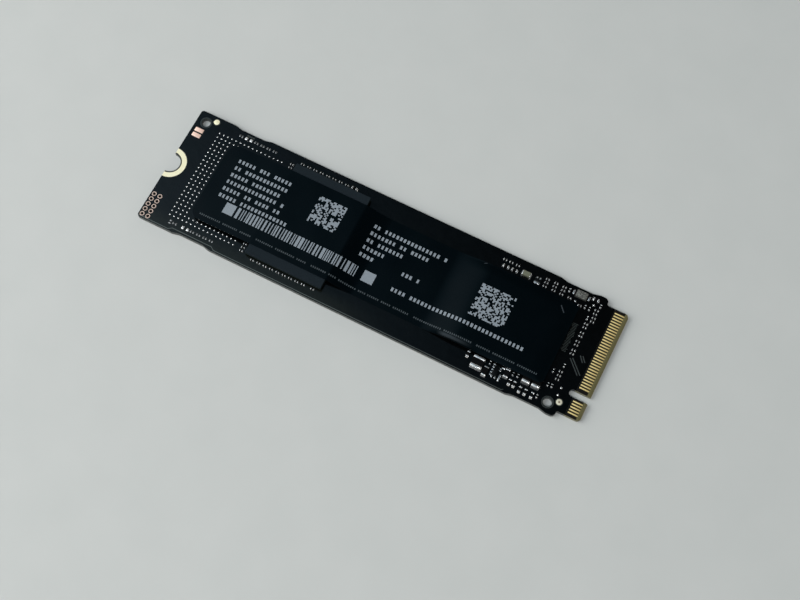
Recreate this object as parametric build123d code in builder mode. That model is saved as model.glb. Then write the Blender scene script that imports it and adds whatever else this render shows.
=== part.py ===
from build123d import *
import os

# A single-sided solid state drive on an M.2 card, 22 mm wide and 80 mm long.
# The frame lies in the middle of the card's lower face: X runs along the card towards
# its edge connector, Z points up out of the face that carries the packages.
# All lengths are in millimetres.

os.makedirs("parts", exist_ok=True)

# The circuit board
board_length = 80.0
board_width = 22.0
board_thickness = 0.8
board_corner_radius = 0.5
end_x = -board_length / 2
tip_x = board_length / 2
far_y = board_width / 2
near_y = -board_width / 2
board_top = board_thickness

# The half-round notch for the holding screw, with its earthing lands
notch_radius = 1.75
notch_land_inner_radius = 1.97
notch_land_outer_radius = 2.8
mask_margin = 0.1

# The tongue that enters the socket, and its key slot
tongue_width = 19.85
tongue_length = 4.0
tongue_corner_radius = 0.7
shoulder_outer_radius = 0.7
shoulder_inner_radius = 0.3
key_slot_width = 1.2
key_slot_depth = 3.5
key_slot_y = -6.125
bevel_length = 0.5
bevel_height = 0.2
shoulder_x = tip_x - tongue_length

# Shallow recesses where the card was broken out of its panel, two on each long edge
recess_length = 7.0
recess_floor_length = 4.4
recess_depth = 0.3
end_recess_x = end_x + 10.1
tip_recess_x = tip_x - 9.0

# Tooling holes
tooling_hole_radius = 0.75
end_tooling_x = end_x + 1.75
end_tooling_y = far_y - 1.85
tip_tooling_x = tip_x - 5.85
tip_tooling_y = near_y + 1.75

# The gold edge contacts: odd pins above, even pins below, none at the key slot
pin_one_y = 9.25
pin_step = 0.25
contact_width = 0.35
contact_length = 1.68
contact_tip_gap = 0.65
mask_gap = 0.28
plating_thickness = 0.03
contact_x = tip_x - contact_tip_gap - contact_length / 2
mask_edge_x = tip_x - contact_tip_gap - contact_length - mask_gap

# Copper and tinned lands on the upper face; round ones under a millimetre have flat sides
land_height = 0.03
round_sides = 8
fiducial_radius = 0.5
end_fiducial_x = end_x + 3.32
end_fiducial_y = far_y - 0.95
tip_fiducial_x = tip_x - 4.21
tip_fiducial_y = near_y + 2.57
jumper_land_length = 1.55
jumper_land_width = 0.82
jumper_land_pitch = 1.02
jumper_land_x = end_x + 1.4
jumper_land_y = far_y - 4.12
test_ring_radius = 0.44
test_hole_radius = 0.22
test_ring_pitch_x = 1.08
test_ring_pitch_y = 1.0
test_ring_columns = 2
test_ring_rows = 5
test_rings_x = end_x + 1.17
test_rings_y = near_y + 2.7

# The two flash sites, the one near the notch left empty
flash_length = 14.0
flash_width = 18.0
flash_y = 0.05
empty_site_inset = 10.8
flash_site_pitch = 15.6
empty_site_x = end_x + empty_site_inset
flash_x = empty_site_x + flash_site_pitch
ball_pitch = 0.8
ball_columns = 16
ball_rows = 22
open_columns = 4
open_rows = 2
pad_radius = 0.19
pad_sides = 6
flash_standoff = 0.25
flash_substrate_thickness = 0.2
flash_mould_thickness = 0.65
flash_mould_corner = 0.15
flash_top = board_top + flash_standoff + flash_substrate_thickness + flash_mould_thickness

# The controller, under the label near the connector; the small parts of its far and near
# sides are placed from two lines that leave them some room
controller_size = 12.0
controller_inset = 16.6
controller_x = tip_x - controller_inset
controller_y = 0.0
side_room = 5.0
side_far_y = controller_y + controller_size / 2 + side_room
side_near_y = controller_y - controller_size / 2 - side_room
controller_standoff = 0.22
controller_substrate_thickness = 0.26
controller_mould_thickness = 0.52
controller_mould_step = 0.35
controller_ball_pitch = 0.8
controller_ball_count = 14
controller_top = board_top + controller_standoff + controller_substrate_thickness
controller_top += controller_mould_thickness
ball_side = 0.34

# The label film, stuck to both packages and sagging to the board between them
label_length = 64.0
label_width = 14.6
label_thickness = 0.12
label_corner_radius = 1.8
label_droop = 0.38
label_fall_length = 5.0
label_rise_length = 6.6
label_start_x = end_x + 7.9
label_end_x = label_start_x + label_length

# Two-ended chips: length, width, height and plated end of each size
tiny_length, tiny_width, tiny_height, tiny_end = 0.6, 0.3, 0.3, 0.16
small_length, small_width, small_height, small_end = 1.0, 0.5, 0.4, 0.25
medium_length, medium_width, medium_height, medium_end = 1.6, 0.8, 0.7, 0.35
bulk_length, bulk_width, bulk_height, bulk_end = 2.0, 1.4, 0.85, 0.5
fillet_reach = 0.16
fillet_rise = 0.6


def place(x, y, turn=0):
    """A place on the board's upper face, turned about the upright axis by some degrees."""
    return Location((x, y, 0), (0, 0, turn))


def from_tip(distance):
    """X of a point measured back from the connector's edge."""
    return tip_x - distance


def far_place(back, inset, turn=0):
    """A place measured back from the connector's edge and in from the far side line."""
    return place(from_tip(back), side_far_y - inset, turn)


def near_place(back, inset, turn=0):
    """A place measured back from the connector's edge and in from the near side line."""
    return place(from_tip(back), side_near_y + inset, turn)


def pin_y(pin):
    """Y of an edge contact, by its pin number."""
    return pin_one_y - (pin - 1) * pin_step


def ends_of(places, reach):
    """Both ends of each chip in a list of places, facing outwards."""
    outward = [spot * Location((reach, 0, 0)) for spot in places]
    inward = [spot * Location((0, 0, 0), (0, 0, 180)) * Location((reach, 0, 0)) for spot in places]
    return outward + inward


def blocks(places, length, width, height, level):
    """Equal upright blocks standing on one level, as a sketch of rectangles pushed up."""
    with BuildPart() as group:
        with BuildSketch(Plane.XY.offset(level)):
            with Locations(*places):
                Rectangle(length, width)
        extrude(amount=height)
    return group


def contact_group(first_pin, last_pin, level):
    """Every second contact between two pin numbers, on one face of the tongue."""
    places = [place(contact_x, pin_y(pin)) for pin in range(first_pin, last_pin + 1, 2)]
    return blocks(places, contact_length, contact_width, plating_thickness, level)


def chip_bodies(places, length, width, height, end):
    """The ceramic middles of two-ended chips."""
    return blocks(places, length - 2 * end, width, height, board_top)


def chip_ends(places, length, width, height, end):
    """The plated ends of two-ended chips."""
    return blocks(ends_of(places, (length - end) / 2), end, width, height, board_top)


def solder_wedges(places, length, width, height):
    """The solder that climbs each end of a chip, one wedge for each end."""
    with BuildPart() as wedge:
        with BuildSketch(Plane.XZ.offset(-width / 2)):
            with BuildLine():
                Polyline((0, 0), (fillet_reach, 0), (0, height * fillet_rise), close=True)
            make_face()
        extrude(amount=width)
    with BuildPart() as group:
        with Locations(*[Location((0, 0, board_top)) * spot for spot in ends_of(places, length / 2)]):
            add(wedge.part)
    return group


# The circuit board, with its tongue, notch, slot, recesses and drilled holes
with BuildPart() as circuit_board:
    with BuildSketch() as outline:
        with Locations((end_x, 0)):
            Rectangle(board_length - tongue_length, board_width, align=(Align.MIN, Align.CENTER))
        fillet(outline.vertices().group_by(Axis.X)[0], board_corner_radius)
        fillet(outline.vertices().group_by(Axis.X)[-1], shoulder_outer_radius)
        with Locations((shoulder_x, 0)):
            Rectangle(2 * tongue_length, tongue_width, mode=Mode.ADD)
        fillet(outline.vertices().group_by(Axis.X)[-1], tongue_corner_radius)
        shoulder_points = outline.vertices().filter_by_position(
            Axis.X, shoulder_x - mask_margin, shoulder_x + mask_margin
        )
        inner_points = shoulder_points.filter_by_position(
            Axis.Y, -tongue_width / 2 - mask_margin, tongue_width / 2 + mask_margin
        )
        fillet(inner_points, shoulder_inner_radius)
        with Locations((end_x, 0)):
            Circle(notch_radius, mode=Mode.SUBTRACT)
        with Locations((tip_x, key_slot_y)):
            SlotOverall(2 * key_slot_depth, key_slot_width, mode=Mode.SUBTRACT)
        for recess_x in (end_recess_x, tip_recess_x):
            for side in (-1, 1):
                with BuildLine():
                    Polyline(
                        (recess_x - recess_length / 2, side * far_y),
                        (recess_x - recess_floor_length / 2, side * (far_y - recess_depth)),
                        (recess_x + recess_floor_length / 2, side * (far_y - recess_depth)),
                        (recess_x + recess_length / 2, side * far_y),
                        close=True,
                    )
                make_face(mode=Mode.SUBTRACT)
        with Locations((end_tooling_x, end_tooling_y), (tip_tooling_x, tip_tooling_y)):
            Circle(tooling_hole_radius, mode=Mode.SUBTRACT)
        with Locations((test_rings_x, test_rings_y)):
            with GridLocations(test_ring_pitch_x, test_ring_pitch_y, test_ring_columns, test_ring_rows):
                RegularPolygon(test_hole_radius, round_sides, mode=Mode.SUBTRACT)
    extrude(amount=board_thickness)
    # The solder mask ends short of the contacts and round the screw lands, on both faces
    for level in (0, board_top - plating_thickness):
        with BuildSketch(Plane.XY.offset(level)):
            with Locations((mask_edge_x, 0)):
                Rectangle(board_length, board_width, align=(Align.MIN, Align.CENTER))
            with Locations((end_x, 0)):
                Circle(notch_land_outer_radius + mask_margin)
        extrude(amount=plating_thickness, mode=Mode.SUBTRACT)
    # The bevel along the connector's edge, above and below
    with BuildSketch(Plane.XZ):
        for face_z, inward in ((0, 1), (board_top, -1)):
            with BuildLine():
                Polyline(
                    (tip_x - bevel_length, face_z),
                    (tip_x + bevel_length, face_z),
                    (tip_x + bevel_length, face_z + inward * 2 * bevel_height),
                    close=True,
                )
            make_face()
    extrude(amount=board_width, both=True, mode=Mode.SUBTRACT)
circuit_board.part.label = "circuit_board"
export_step(circuit_board.part, "parts/circuit_board.step")

# The earthing lands round the screw notch, flush with the solder mask on both faces
with BuildPart() as screw_notch_lands:
    for level in (0, board_top - plating_thickness):
        with BuildSketch(Plane.XY.offset(level)):
            with Locations((end_x, 0)):
                Circle(notch_land_outer_radius)
                Circle(notch_land_inner_radius, mode=Mode.SUBTRACT)
                Rectangle(
                    2 * notch_land_outer_radius,
                    2 * notch_land_outer_radius,
                    align=(Align.MAX, Align.CENTER),
                    mode=Mode.SUBTRACT,
                )
        extrude(amount=plating_thickness)
screw_notch_lands.part.label = "screw_notch_lands"
export_step(screw_notch_lands.part, "parts/screw_notch_lands.step")

# The edge contacts: odd pins on the upper face and even ones on the lower, each face with
# its main group and the short group beyond the key slot
edge_contacts_upper_main = contact_group(1, 57, board_top - plating_thickness)
edge_contacts_upper_main.part.label = "edge_contacts_upper_main"
export_step(edge_contacts_upper_main.part, "parts/edge_contacts_upper_main.step")

edge_contacts_upper_tab = contact_group(67, 75, board_top - plating_thickness)
edge_contacts_upper_tab.part.label = "edge_contacts_upper_tab"
export_step(edge_contacts_upper_tab.part, "parts/edge_contacts_upper_tab.step")

edge_contacts_lower_main = contact_group(2, 58, 0)
edge_contacts_lower_main.part.label = "edge_contacts_lower_main"
export_step(edge_contacts_lower_main.part, "parts/edge_contacts_lower_main.step")

edge_contacts_lower_tab = contact_group(68, 74, 0)
edge_contacts_lower_tab.part.label = "edge_contacts_lower_tab"
export_step(edge_contacts_lower_tab.part, "parts/edge_contacts_lower_tab.step")

# Round marks that the placing machine looks for
with BuildPart() as fiducial_marks:
    with BuildSketch(Plane.XY.offset(board_top)):
        with Locations((end_fiducial_x, end_fiducial_y), (tip_fiducial_x, tip_fiducial_y)):
            RegularPolygon(fiducial_radius, 2 * round_sides)
    extrude(amount=land_height)
fiducial_marks.part.label = "fiducial_marks"
export_step(fiducial_marks.part, "parts/fiducial_marks.step")

# Two bare copper lands beside the notch
with BuildPart() as jumper_lands:
    with BuildSketch(Plane.XY.offset(board_top)):
        with Locations((jumper_land_x, jumper_land_y)):
            with GridLocations(jumper_land_length, jumper_land_pitch, 1, 2):
                Rectangle(jumper_land_length, jumper_land_width)
    extrude(amount=land_height)
jumper_lands.part.label = "jumper_lands"
export_step(jumper_lands.part, "parts/jumper_lands.step")

# Copper rings round the drilled test points
with BuildPart() as test_point_rings:
    with BuildSketch(Plane.XY.offset(board_top)):
        with Locations((test_rings_x, test_rings_y)):
            with GridLocations(test_ring_pitch_x, test_ring_pitch_y, test_ring_columns, test_ring_rows):
                RegularPolygon(test_ring_radius, round_sides)
                RegularPolygon(test_hole_radius, round_sides, mode=Mode.SUBTRACT)
    extrude(amount=land_height)
test_point_rings.part.label = "test_point_rings"
export_step(test_point_rings.part, "parts/test_point_rings.step")

# The tinned pads of the empty flash site, as far as the label leaves them open to view:
# whole columns at the notch's side, and the outer rows on both sides
with BuildPart() as empty_site_pads:
    with BuildSketch(Plane.XY.offset(board_top)):
        with Locations((empty_site_x, flash_y)):
            with GridLocations(ball_pitch, ball_pitch, ball_columns, ball_rows):
                RegularPolygon(pad_radius, pad_sides)
        with Locations((empty_site_x + open_columns * ball_pitch / 2, flash_y)):
            Rectangle(
                (ball_columns - open_columns) * ball_pitch,
                (ball_rows - 2 * open_rows) * ball_pitch,
                mode=Mode.SUBTRACT,
            )
    extrude(amount=land_height)
empty_site_pads.part.label = "empty_site_pads"
export_step(empty_site_pads.part, "parts/empty_site_pads.step")

# The fitted flash package: solder balls, substrate and moulded cap.
# Only the outer ring of balls is made, since the others can't be seen.
with BuildPart() as flash_solder_balls:
    with BuildSketch(Plane.XY.offset(board_top)):
        with Locations((flash_x, flash_y)):
            with GridLocations(ball_pitch, ball_pitch, ball_columns, ball_rows):
                Rectangle(ball_side, ball_side)
            Rectangle(
                (ball_columns - 2) * ball_pitch, (ball_rows - 2) * ball_pitch, mode=Mode.SUBTRACT
            )
    extrude(amount=flash_standoff)
flash_solder_balls.part.label = "flash_solder_balls"
export_step(flash_solder_balls.part, "parts/flash_solder_balls.step")

with BuildPart() as flash_substrate:
    with BuildSketch(Plane.XY.offset(board_top + flash_standoff)):
        with Locations((flash_x, flash_y)):
            Rectangle(flash_length, flash_width)
    extrude(amount=flash_substrate_thickness)
flash_substrate.part.label = "flash_substrate"
export_step(flash_substrate.part, "parts/flash_substrate.step")

with BuildPart() as flash_mould:
    with BuildSketch(Plane.XY.offset(flash_top - flash_mould_thickness)) as flash_face:
        with Locations((flash_x, flash_y)):
            Rectangle(flash_length, flash_width)
        chamfer(flash_face.vertices(), flash_mould_corner)
    extrude(amount=flash_mould_thickness)
flash_mould.part.label = "flash_mould"
export_step(flash_mould.part, "parts/flash_mould.step")

# The controller package: solder balls, substrate and a moulded cap set in from its edge
with BuildPart() as controller_solder_balls:
    with BuildSketch(Plane.XY.offset(board_top)):
        with Locations((controller_x, controller_y)):
            with GridLocations(
                controller_ball_pitch,
                controller_ball_pitch,
                controller_ball_count,
                controller_ball_count,
            ):
                Rectangle(ball_side, ball_side)
            inner_field = (controller_ball_count - 2) * controller_ball_pitch
            Rectangle(inner_field, inner_field, mode=Mode.SUBTRACT)
    extrude(amount=controller_standoff)
controller_solder_balls.part.label = "controller_solder_balls"
export_step(controller_solder_balls.part, "parts/controller_solder_balls.step")

with BuildPart() as controller_substrate:
    with BuildSketch(Plane.XY.offset(board_top + controller_standoff)):
        with Locations((controller_x, controller_y)):
            Rectangle(controller_size, controller_size)
    extrude(amount=controller_substrate_thickness)
controller_substrate.part.label = "controller_substrate"
export_step(controller_substrate.part, "parts/controller_substrate.step")

with BuildPart() as controller_mould:
    with BuildSketch(Plane.XY.offset(controller_top - controller_mould_thickness)):
        with Locations((controller_x, controller_y)):
            mould_size = controller_size - 2 * controller_mould_step
            Rectangle(mould_size, mould_size)
    extrude(amount=controller_mould_thickness)
controller_mould.part.label = "controller_mould"
export_step(controller_mould.part, "parts/controller_mould.step")

# The label film follows one line along the card: its end droops off the flash, then it lies
# on the flash, falls to the board, runs along it, climbs to the controller and ends beyond it
flash_start_x = flash_x - flash_length / 2
flash_end_x = flash_x + flash_length / 2
mould_start_x = controller_x - controller_size / 2 + controller_mould_step
valley_start_x = flash_end_x + label_fall_length
valley_end_x = mould_start_x - label_rise_length
level_way = (1, 0)

with BuildPart() as label_film:
    with BuildSketch(Plane.XZ):
        with BuildLine():
            for lift in (0, label_thickness):
                droop_end = (label_start_x, flash_top - label_droop + lift)
                flash_edge = (flash_start_x, flash_top + lift)
                fall_top = (flash_end_x, flash_top + lift)
                fall_foot = (valley_start_x, board_top + lift)
                rise_foot = (valley_end_x, board_top + lift)
                rise_top = (mould_start_x, controller_top + lift)
                film_end = (label_end_x, controller_top + lift)
                Line(flash_edge, droop_end)
                Line(flash_edge, fall_top)
                Spline(fall_top, fall_foot, tangents=(level_way, level_way))
                Line(fall_foot, rise_foot)
                Spline(rise_foot, rise_top, tangents=(level_way, level_way))
                Line(rise_top, film_end)
            for film_x, film_z in (
                (label_start_x, flash_top - label_droop),
                (label_end_x, controller_top),
            ):
                Line((film_x, film_z), (film_x, film_z + label_thickness))
        make_face()
    extrude(amount=label_width / 2, both=True)
    with BuildSketch():
        with Locations((label_start_x + label_length / 2, 0)):
            RectangleRounded(label_length, label_width, label_corner_radius)
    extrude(amount=2 * flash_top, mode=Mode.INTERSECT)
label_film.part.label = "label_film"
export_step(label_film.part, "parts/label_film.step")

# Rows of decoupling chips on both sides of the fitted flash, and a short stack beside it
far_row_gap, near_row_gap = 0.58, 0.42
far_row_pitch, far_row_count, far_row_reach = 1.2, 8, 6.23
near_row_pitch, near_row_count, near_row_reach = 1.18, 9, 5.45
lone_chip_reach = 5.7
stack_gap, stack_pitch = 0.85, 0.67
far_stack_reach, near_stack_reach = 8.1, 7.45
flash_row_far_y = flash_y + flash_width / 2 + far_row_gap
flash_row_near_y = flash_y - flash_width / 2 - near_row_gap
far_start_x = flash_x - far_row_reach
near_start_x = flash_x - near_row_reach
stack_x = flash_start_x - stack_gap
far_stack_y = flash_y + far_stack_reach
near_stack_y = flash_y - near_stack_reach
far_row = [place(far_start_x + n * far_row_pitch, flash_row_far_y) for n in range(far_row_count)]
near_row = [
    place(near_start_x + n * near_row_pitch, flash_row_near_y) for n in range(near_row_count)
]
lone_chip = place(flash_x + lone_chip_reach, flash_row_near_y)
far_stack = [place(stack_x, far_stack_y + n * stack_pitch) for n in range(2)]
near_stack = [place(stack_x, near_stack_y - n * stack_pitch) for n in range(3)]
flash_chip_places = far_row + near_row + [lone_chip] + far_stack + near_stack

flash_chip_bodies = chip_bodies(flash_chip_places, tiny_length, tiny_width, tiny_height, tiny_end)
flash_chip_bodies.part.label = "flash_chip_bodies"
export_step(flash_chip_bodies.part, "parts/flash_chip_bodies.step")

flash_chip_ends = chip_ends(flash_chip_places, tiny_length, tiny_width, tiny_height, tiny_end)
flash_chip_ends.part.label = "flash_chip_ends"
export_step(flash_chip_ends.part, "parts/flash_chip_ends.step")

# The coupling capacitors of the data lanes, in pairs behind the contacts
lane_count = 4
lane_pitch = 1.655
lane_chip_spacing = 0.665
lane_chip_back = 5.7
lane_chip_x = from_tip(lane_chip_back)
lane_middle_y = 2.56
lane_places = []
for lane in range(lane_count):
    lane_y = lane_middle_y + (lane - (lane_count - 1) / 2) * lane_pitch
    lane_places.append(place(lane_chip_x, lane_y + lane_chip_spacing / 2))
    lane_places.append(place(lane_chip_x, lane_y - lane_chip_spacing / 2))

lane_capacitor_bodies = chip_bodies(lane_places, tiny_length, tiny_width, tiny_height, tiny_end)
lane_capacitor_bodies.part.label = "lane_capacitor_bodies"
export_step(lane_capacitor_bodies.part, "parts/lane_capacitor_bodies.step")

lane_capacitor_ends = chip_ends(lane_places, tiny_length, tiny_width, tiny_height, tiny_end)
lane_capacitor_ends.part.label = "lane_capacitor_ends"
export_step(lane_capacitor_ends.part, "parts/lane_capacitor_ends.step")

# The other tiny chips round the controller. Rows that lie along the card are written as
# their distance in from a side line and the distances back from the connector's edge;
# chips that stand across it as pairs of the two distances.
level_far = {
    1.4: (22.1, 21.0, 19.8, 14.4, 12.9, 11.4),
    2.05: (14.4, 12.9, 11.4),
    2.75: (14.4, 12.8, 11.4, 9.95, 5.1),
    3.2: (7.95,),
    3.42: (5.1,),
    4.17: (5.0,),
    4.85: (5.0,),
}
level_near = {7.22: (6.05,), 6.5: (6.05,), 5.8: (6.05,)}
across_far = ((10.45, 1.5), (4.8, 1.78), (7.05, 3.0), (6.3, 3.0), (5.95, 4.6))
across_near = (
    (5.95, 8.4),
    (7.2, 6.85),
    (7.0, 4.4),
    (6.35, 4.45),
    (16.7, 3.5),
    (12.65, 3.42),
    (11.85, 3.5),
    (7.75, 1.8),
)
control_places = [far_place(back, inset) for inset, row in level_far.items() for back in row]
control_places += [near_place(back, inset) for inset, row in level_near.items() for back in row]
control_places += [far_place(back, inset, 90) for back, inset in across_far]
control_places += [near_place(back, inset, 90) for back, inset in across_near]

control_chip_bodies = chip_bodies(control_places, tiny_length, tiny_width, tiny_height, tiny_end)
control_chip_bodies.part.label = "control_chip_bodies"
export_step(control_chip_bodies.part, "parts/control_chip_bodies.step")

control_chip_ends = chip_ends(control_places, tiny_length, tiny_width, tiny_height, tiny_end)
control_chip_ends.part.label = "control_chip_ends"
export_step(control_chip_ends.part, "parts/control_chip_ends.step")

# The next size of chip: beside the flash, above the controller and in the power stage
small_flash_reach = 3.55
small_level_far = ((21.5, 2.45), (19.95, 2.45), (5.95, 1.1))
small_across_near = ((20.5, 3.2), (12.6, 1.95), (11.8, 1.95), (10.65, 1.58), (9.7, 1.58), (8.55, 1.58))
small_places = [place(flash_x + small_flash_reach, flash_row_far_y)]
small_places += [far_place(back, inset) for back, inset in small_level_far]
small_places += [near_place(back, inset, 90) for back, inset in small_across_near]

small_chip_bodies = chip_bodies(small_places, small_length, small_width, small_height, small_end)
small_chip_bodies.part.label = "small_chip_bodies"
export_step(small_chip_bodies.part, "parts/small_chip_bodies.step")

small_chip_ends = chip_ends(small_places, small_length, small_width, small_height, small_end)
small_chip_ends.part.label = "small_chip_ends"
export_step(small_chip_ends.part, "parts/small_chip_ends.step")

small_chip_solder = solder_wedges(small_places, small_length, small_width, small_height)
small_chip_solder.part.label = "small_chip_solder"
export_step(small_chip_solder.part, "parts/small_chip_solder.step")

# One black resistor and one tan ceramic capacitor of the medium size
medium_size = (medium_length, medium_width, medium_height, medium_end)
resistor_back, resistor_inset = 16.85, 1.72
capacitor_back, capacitor_inset = 17.9, 2.25
resistor_places = [near_place(resistor_back, resistor_inset, 90)]
capacitor_places = [far_place(capacitor_back, capacitor_inset)]

sense_resistor_body = chip_bodies(resistor_places, *medium_size)
sense_resistor_body.part.label = "sense_resistor_body"
export_step(sense_resistor_body.part, "parts/sense_resistor_body.step")

ceramic_capacitor_body = chip_bodies(capacitor_places, *medium_size)
ceramic_capacitor_body.part.label = "ceramic_capacitor_body"
export_step(ceramic_capacitor_body.part, "parts/ceramic_capacitor_body.step")

medium_places = resistor_places + capacitor_places
medium_chip_ends = chip_ends(medium_places, *medium_size)
medium_chip_ends.part.label = "medium_chip_ends"
export_step(medium_chip_ends.part, "parts/medium_chip_ends.step")

# Two bulk capacitors that reach under the label's edge
bulk_first_back, bulk_pitch, bulk_inset = 8.65, 1.7, 3.85
bulk_places = [near_place(bulk_first_back + n * bulk_pitch, bulk_inset, 90) for n in range(2)]
bulk_size = (bulk_length, bulk_width, bulk_height, bulk_end)

bulk_capacitor_bodies = chip_bodies(bulk_places, *bulk_size)
bulk_capacitor_bodies.part.label = "bulk_capacitor_bodies"
export_step(bulk_capacitor_bodies.part, "parts/bulk_capacitor_bodies.step")

bulk_capacitor_ends = chip_ends(bulk_places, *bulk_size)
bulk_capacitor_ends.part.label = "bulk_capacitor_ends"
export_step(bulk_capacitor_ends.part, "parts/bulk_capacitor_ends.step")

# The power inductors: a wide one and a smaller one, each a moulded block between plated ends
inductor_length, inductor_width, inductor_height, inductor_end = 2.0, 2.0, 0.8, 0.5
choke_length, choke_width, choke_height, choke_end = 1.5, 0.85, 0.6, 0.3
inductor_back, inductor_inset = 18.5, 2.52
choke_back, choke_inset = 13.6, 3.0
inductor_places = [near_place(inductor_back, inductor_inset, 90)]
choke_places = [near_place(choke_back, choke_inset, 90)]
inductor_size = (inductor_length, inductor_width, inductor_height, inductor_end)
choke_size = (choke_length, choke_width, choke_height, choke_end)

inductor_body = chip_bodies(inductor_places, *inductor_size)
inductor_body.part.label = "inductor_body"
export_step(inductor_body.part, "parts/inductor_body.step")

inductor_ends = chip_ends(inductor_places, *inductor_size)
inductor_ends.part.label = "inductor_ends"
export_step(inductor_ends.part, "parts/inductor_ends.step")

choke_body = chip_bodies(choke_places, *choke_size)
choke_body.part.label = "choke_body"
export_step(choke_body.part, "parts/choke_body.step")

choke_ends = chip_ends(choke_places, *choke_size)
choke_ends.part.label = "choke_ends"
export_step(choke_ends.part, "parts/choke_ends.step")

# The voltage converter with leads on three sides
converter_length, converter_width, converter_height = 0.8, 1.8, 0.5
converter_back, converter_inset = 15.32, 2.65
converter_x = from_tip(converter_back)
converter_y = side_near_y + converter_inset
lead_length, lead_width, lead_height = 0.36, 0.24, 0.12
lead_pitch = 0.46
side_lead_count = 5
side_lead_shift = 0.03
right_lead_shifts = (0.35, 0.68)
end_lead_pitch = 0.55
side_lead_x = converter_x - (converter_length + lead_length) / 2
right_lead_x = converter_x + (converter_length + lead_length) / 2
end_lead_y = converter_y - (converter_width + lead_length) / 2
first_lead_y = converter_y + side_lead_shift - (side_lead_count - 1) / 2 * lead_pitch
lead_places = [place(side_lead_x, first_lead_y + n * lead_pitch) for n in range(side_lead_count)]
lead_places += [place(right_lead_x, converter_y + shift) for shift in right_lead_shifts]
lead_places += [place(converter_x + side * end_lead_pitch / 2, end_lead_y, 90) for side in (-1, 1)]

converter_chip = blocks(
    [place(converter_x, converter_y)], converter_length, converter_width, converter_height, board_top
)
converter_chip.part.label = "converter_chip"
export_step(converter_chip.part, "parts/converter_chip.step")

converter_leads = blocks(lead_places, lead_length, lead_width, lead_height, board_top)
converter_leads.part.label = "converter_leads"
export_step(converter_leads.part, "parts/converter_leads.step")

# The load switch: a small chip with a wide tab on one side and two leads on the other
switch_length, switch_width, switch_height = 1.0, 0.5, 0.4
switch_tab_width = 0.36
switch_back, switch_inset = 15.8, 2.3
switch_x = from_tip(switch_back)
switch_y = side_far_y - switch_inset
switch_chip = blocks([place(switch_x, switch_y)], switch_length, switch_width, switch_height, board_top)
switch_chip.part.label = "switch_chip"
export_step(switch_chip.part, "parts/switch_chip.step")

switch_tab_y = switch_y - (switch_width + switch_tab_width) / 2
switch_lead_y = switch_y + (switch_width + lead_length) / 2
with BuildPart() as switch_leads:
    with BuildSketch(Plane.XY.offset(board_top)):
        with Locations((switch_x, switch_tab_y)):
            Rectangle(switch_length, switch_tab_width)
        with Locations((switch_x, switch_lead_y)):
            with GridLocations(end_lead_pitch, lead_length, 2, 1):
                Rectangle(lead_width, lead_length)
    extrude(amount=lead_height)
switch_leads.part.label = "switch_leads"
export_step(switch_leads.part, "parts/switch_leads.step")

# The clock crystal: a ceramic base, a metal lid and a soldered land at each end
crystal_length, crystal_width = 2.0, 1.35
crystal_base_height, crystal_lid_height = 0.35, 0.15
crystal_lid_margin = 0.1
crystal_lid_corner = 0.2
crystal_land_length, crystal_land_width = 0.3, 0.75
crystal_land_gap = 0.2
crystal_back, crystal_inset = 8.35, 1.42
crystal_x = from_tip(crystal_back)
crystal_y = side_far_y - crystal_inset

crystal_base = blocks(
    [place(crystal_x, crystal_y)], crystal_length, crystal_width, crystal_base_height, board_top
)
crystal_base.part.label = "crystal_base"
export_step(crystal_base.part, "parts/crystal_base.step")

with BuildPart() as crystal_lid:
    with BuildSketch(Plane.XY.offset(board_top + crystal_base_height)) as lid_face:
        with Locations((crystal_x, crystal_y)):
            Rectangle(crystal_length - 2 * crystal_lid_margin, crystal_width - 2 * crystal_lid_margin)
        chamfer(lid_face.vertices(), crystal_lid_corner)
    extrude(amount=crystal_lid_height)
crystal_lid.part.label = "crystal_lid"
export_step(crystal_lid.part, "parts/crystal_lid.step")

crystal_land_reach = crystal_length / 2 + crystal_land_gap + crystal_land_length / 2
crystal_lands = blocks(
    [place(crystal_x + side * crystal_land_reach, crystal_y) for side in (-1, 1)],
    crystal_land_length,
    crystal_land_width,
    lead_height,
    board_top,
)
crystal_lands.part.label = "crystal_lands"
export_step(crystal_lands.part, "parts/crystal_lands.step")

# Tinned lands of chips that were never fitted, in a row on each side of the empty site
tiny_land_length, tiny_land_width = 0.26, 0.4
tiny_land_reach = 0.24
small_land_length, small_land_width = 0.45, 0.5
small_land_reach = 0.45
empty_row_drop = 0.1
empty_pitch, empty_count = 1.19, 4
far_pair_reach, far_group_start, far_wide_reach = 2.45, 0.45, 1.0
near_pair_reach, near_across_reach, near_group_reach, near_wide_reach = 4.42, 5.25, 1.1, 2.42
empty_far_y = flash_row_far_y
empty_near_y = flash_row_near_y - empty_row_drop
far_group_x = empty_site_x + far_group_start
near_group_x = empty_site_x - near_group_reach
far_pairs = [place(empty_site_x - far_pair_reach, empty_far_y)]
far_pairs += [place(far_group_x + n * empty_pitch, empty_far_y) for n in range(empty_count)]
near_pairs = [
    place(empty_site_x - near_pair_reach, empty_near_y),
    place(empty_site_x - near_across_reach, empty_near_y, 90),
]
near_pairs += [place(near_group_x + n * empty_pitch, empty_near_y) for n in range(empty_count)]
wide_pairs = [
    place(empty_site_x - far_wide_reach, empty_far_y),
    place(empty_site_x - near_wide_reach, empty_near_y),
]

with BuildPart() as empty_chip_lands:
    with BuildSketch(Plane.XY.offset(board_top)):
        with Locations(*ends_of(far_pairs + near_pairs, tiny_land_reach)):
            Rectangle(tiny_land_length, tiny_land_width)
        with Locations(*ends_of(wide_pairs, small_land_reach)):
            Rectangle(small_land_length, small_land_width)
    extrude(amount=land_height)
empty_chip_lands.part.label = "empty_chip_lands"
export_step(empty_chip_lands.part, "parts/empty_chip_lands.step")

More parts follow.
